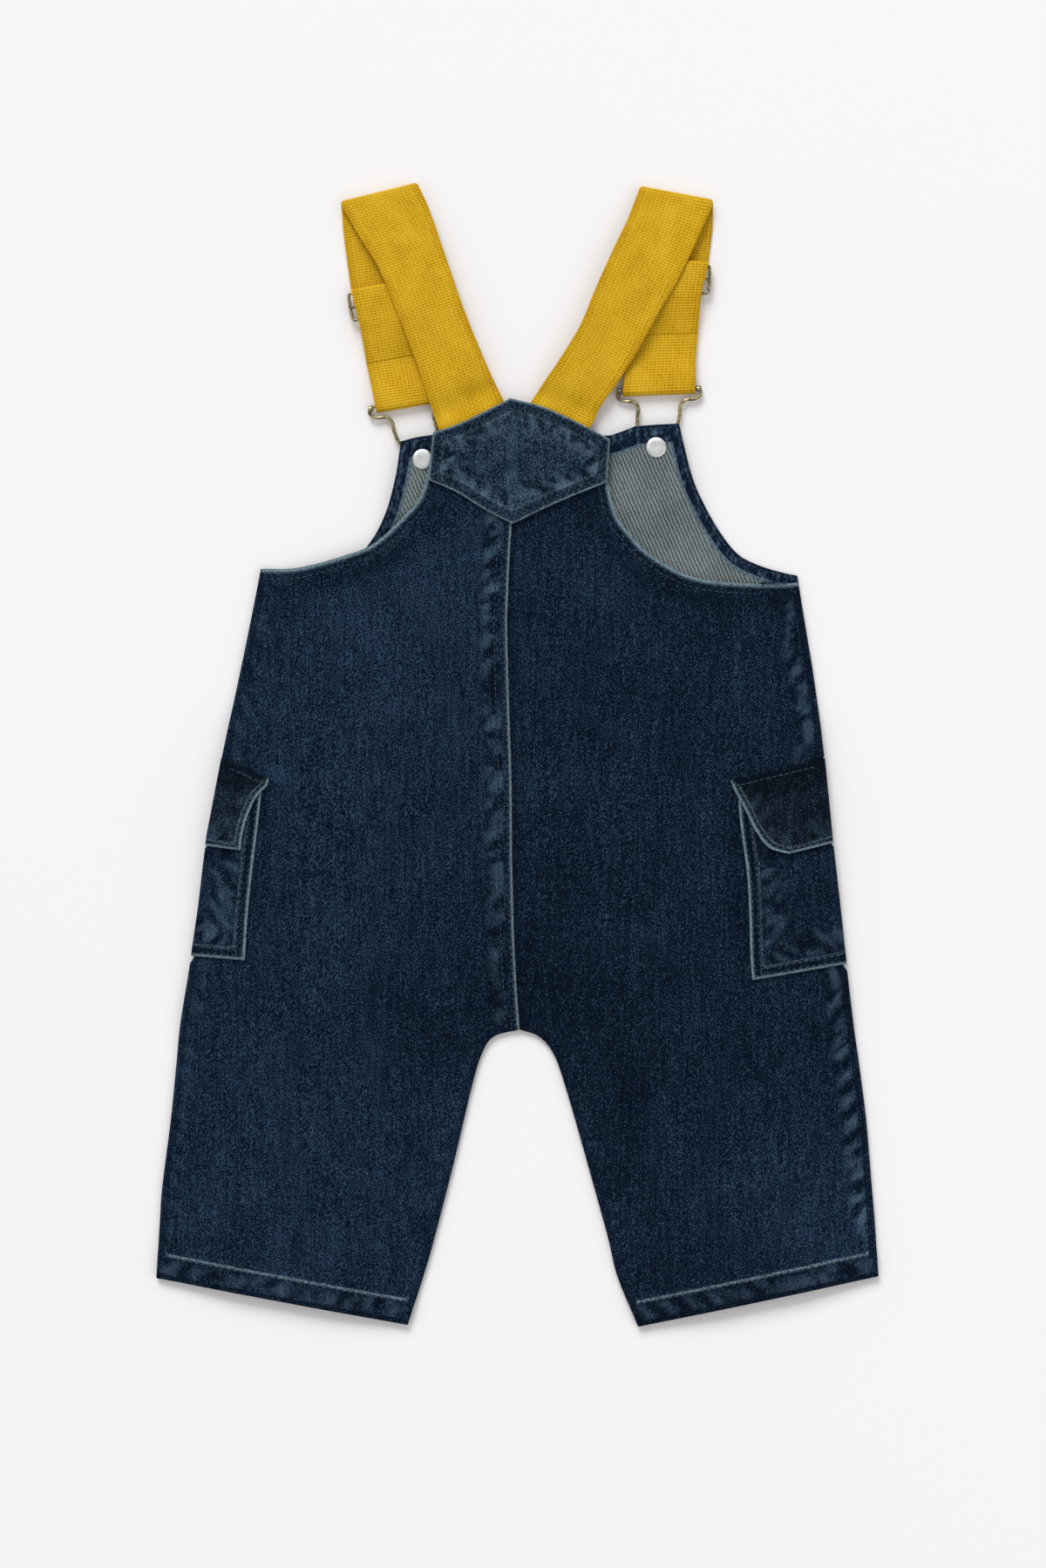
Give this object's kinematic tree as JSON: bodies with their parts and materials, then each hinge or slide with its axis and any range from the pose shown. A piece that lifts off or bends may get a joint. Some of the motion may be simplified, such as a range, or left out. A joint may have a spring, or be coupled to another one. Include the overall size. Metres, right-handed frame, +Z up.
{
  "type": "kids dungarees",
  "caption": "Baby's denim dungarees laid flat with the back up: bib, centre-seamed legs, yoke, wrapped side pockets with flaps, and webbing straps with sliders and wire buckles on bib buttons.",
  "frame": {"origin": "on the surface the garment lies on, under the middle of its outline", "axes": "+X to the right seen from above, with the back of the garment up; +Y from the leg hems to the straps; +Z up, away from the surface"},
  "size_m": [0.3564, 0.565, 0.0104],
  "materials": {
    "denim": "dark indigo twill, matt",
    "denim_inside": "grey wrong side of the twill, matt",
    "webbing": "mustard webbing, matt",
    "buckle_wire": "aged brass, satin",
    "button_metal": "nickel, satin"
  },
  "bodies": {
    "root": {"back_left": "denim", "back_right": "denim", "front_leg_left": "denim", "front_leg_right": "denim", "pocket_left": "denim", "pocket_right": "denim", "pocket_flap_left": "denim", "pocket_flap_right": "denim", "yoke": "denim", "bib": "denim_inside", "strap_left": "webbing", "strap_right": "webbing", "buckle_left": "buckle_wire", "buckle_right": "buckle_wire", "slider_left": "buckle_wire", "slider_right": "buckle_wire", "button_left": "button_metal", "button_right": "button_metal", "button_tack_left": "button_metal", "button_tack_right": "button_metal"}
  },
  "joints": []
}
